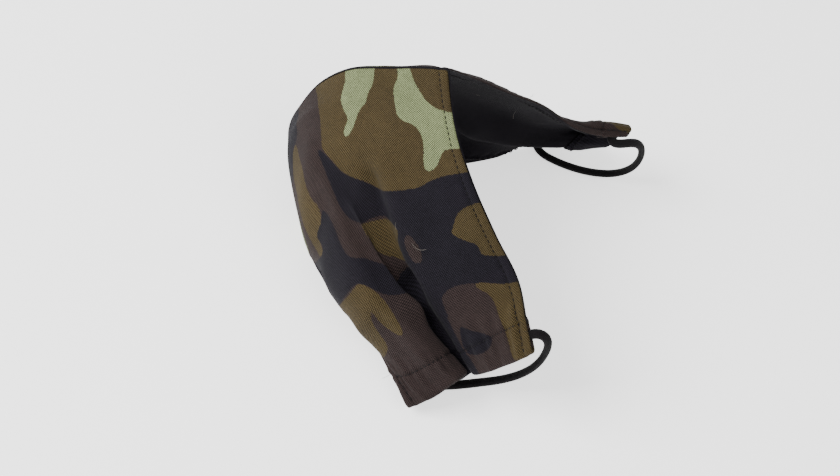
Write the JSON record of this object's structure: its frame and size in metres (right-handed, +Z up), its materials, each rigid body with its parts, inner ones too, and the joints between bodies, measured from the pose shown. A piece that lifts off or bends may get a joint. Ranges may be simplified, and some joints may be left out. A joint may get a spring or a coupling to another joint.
{
  "type": "cloth face mask",
  "caption": "Shaped two-layer cloth face mask with a centre seam and elastic ear loops, standing open on its lower edge.",
  "frame": {"origin": "on the table, below the middle of the cloth's box", "axes": "+X towards the wearer's left, -Y towards the nose and front, +Y towards the ears, +Z up"},
  "size_m": [0.1862, 0.1563, 0.1094],
  "materials": {
    "camo_cloth": "cotton twill printed with blotches of sage green, olive brown, purple brown and near-black blue",
    "lining_cloth": "plain black cotton",
    "elastic": "soft black braided elastic",
    "thread": "black polyester sewing thread"
  },
  "bodies": {
    "left_half": {"outer_left": "camo_cloth", "lining_left": "lining_cloth", "outer_centre_seam": "camo_cloth", "lining_centre_seam": "lining_cloth", "left_ear_tunnel": "camo_cloth", "left_tunnel_elastic": "elastic", "left_ear_loop": "elastic", "left_upper_edge_thread": "thread", "left_lower_edge_thread": "thread", "left_tunnel_thread": "thread"},
    "right_half": {"outer_right": "camo_cloth", "lining_right": "lining_cloth", "right_ear_tunnel": "camo_cloth", "right_tunnel_elastic": "elastic", "right_ear_loop": "elastic", "right_upper_edge_thread": "thread", "right_lower_edge_thread": "thread", "right_tunnel_thread": "thread"}
  },
  "joints": [
    {"name": "centre_fold", "type": "hinge", "parent": "left_half", "child": "right_half", "pos_m": [-0.00188, -0.05024, 0.05], "axis": [0, 0, 1], "range_deg": [-14, 20], "deforming": ["outer_centre_seam", "lining_centre_seam"]}
  ]
}
